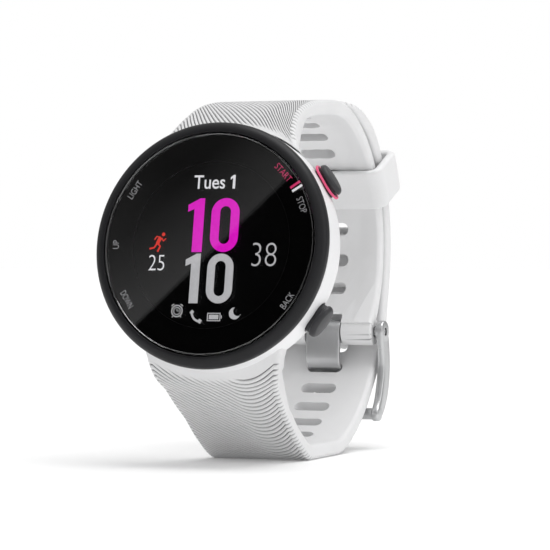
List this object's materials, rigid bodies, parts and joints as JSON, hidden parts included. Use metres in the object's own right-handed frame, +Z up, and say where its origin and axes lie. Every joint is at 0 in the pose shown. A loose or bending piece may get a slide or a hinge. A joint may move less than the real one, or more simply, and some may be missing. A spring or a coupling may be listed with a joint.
{
  "type": "gps running watch",
  "caption": "Round running watch with side buttons and a dark dial, on a white ribbed strap closed by a tang buckle and a loose keeper.",
  "frame": {"origin": "middle of the lower strap's flat foot, on the surface it stands on", "axes": "+Z up, -Y the way the face looks (it leans back 10.2 degrees), +X towards 3 o'clock"},
  "size_m": [0.04, 0.0663, 0.0598],
  "materials": {
    "white_silicone": "matt white silicone, fine diagonal ribs outside, smooth inside",
    "white_resin": "fine satin white moulded resin",
    "charcoal_resin": "satin charcoal moulded resin",
    "black_resin": "matt black moulded resin",
    "lens_glass": "clear strengthened glass, black behind",
    "display": "dark reflective display module",
    "seal_rubber": "black seal rubber",
    "pink_resin": "pink moulded accent",
    "steel": "satin brushed stainless steel",
    "gold_plate": "gold-plated copper alloy",
    "circuit_board": "green glass-fibre board",
    "cell_wrap": "laminated foil pouch",
    "emitter": "green light emitter, clear cap"
  },
  "bodies": {
    "head_and_strap": {"upper_strap": "white_silicone", "lower_strap": "white_silicone", "case_body": "white_resin", "back_cover": "white_resin", "bezel_ring": "charcoal_resin", "dial_mask": "black_resin", "display_carrier": "black_resin", "lens_glass": "lens_glass", "sensor_window": "lens_glass", "display_panel": "display", "lens_gasket": "seal_rubber", "back_gasket": "seal_rubber", "start_button_seal": "seal_rubber", "back_button_seal": "seal_rubber", "light_button_seal": "seal_rubber", "up_button_seal": "seal_rubber", "down_button_seal": "seal_rubber", "start_button_ring": "pink_resin", "vibration_motor": "steel", "spring_bar": "steel", "upper_strap_pin": "steel", "lower_strap_pin": "steel", "start_switch": "steel", "back_switch": "steel", "light_switch": "steel", "up_switch": "steel", "down_switch": "steel", "back_cover_screw_1": "steel", "back_cover_screw_2": "steel", "back_cover_screw_3": "steel", "back_cover_screw_4": "steel", "antenna_ring": "gold_plate", "charge_contact_1": "gold_plate", "charge_contact_2": "gold_plate", "charge_contact_3": "gold_plate", "charge_contact_4": "gold_plate", "main_board": "circuit_board", "sensor_board": "circuit_board", "battery_cell": "cell_wrap", "light_emitter_1": "emitter", "light_emitter_2": "emitter", "light_emitter_3": "emitter"},
    "start_push": {"start_button": "charcoal_resin"},
    "back_push": {"back_button": "charcoal_resin"},
    "light_push": {"light_button": "black_resin"},
    "up_push": {"up_button": "black_resin"},
    "down_push": {"down_button": "black_resin"},
    "keeper": {"keeper_loop": "white_silicone"},
    "buckle": {"buckle_frame": "steel"},
    "tongue": {"buckle_tongue": "steel"}
  },
  "joints": [
    {"name": "start_press", "type": "slide", "parent": "head_and_strap", "child": "start_push", "axis": [-0.8387, -0.0964, -0.536], "range_m": [0, 0.0005], "stiffness_N_per_m": 800, "springref_m": -0.0005},
    {"name": "back_press", "type": "slide", "parent": "head_and_strap", "child": "back_push", "axis": [-0.8387, 0.0964, 0.536], "range_m": [0, 0.0005], "stiffness_N_per_m": 800, "springref_m": -0.0005},
    {"name": "light_press", "type": "slide", "parent": "head_and_strap", "child": "light_push", "axis": [0.8387, -0.0964, -0.536], "range_m": [0, 0.0005], "stiffness_N_per_m": 800, "springref_m": -0.0005},
    {"name": "up_press", "type": "slide", "parent": "head_and_strap", "child": "up_push", "axis": [1, 0, 0], "range_m": [0, 0.0005], "stiffness_N_per_m": 800, "springref_m": -0.0005},
    {"name": "down_press", "type": "slide", "parent": "head_and_strap", "child": "down_push", "axis": [0.8387, 0.0964, 0.536], "range_m": [0, 0.0005], "stiffness_N_per_m": 800, "springref_m": -0.0005},
    {"name": "keeper_slide", "type": "hinge", "parent": "head_and_strap", "child": "keeper", "pos_m": [0, 0.0053, 0.0352], "axis": [1, 0, 0], "range_deg": [-26, 28]},
    {"name": "buckle_swing", "type": "hinge", "parent": "head_and_strap", "child": "buckle", "pos_m": [0, 0.0245, 0.0202], "axis": [1, 0, 0], "range_deg": [0, 3.5]},
    {"name": "tongue_swing", "type": "hinge", "parent": "buckle", "child": "tongue", "pos_m": [0, 0.0245, 0.0202], "axis": [1, 0, 0], "range_deg": [0, 1.5]}
  ]
}
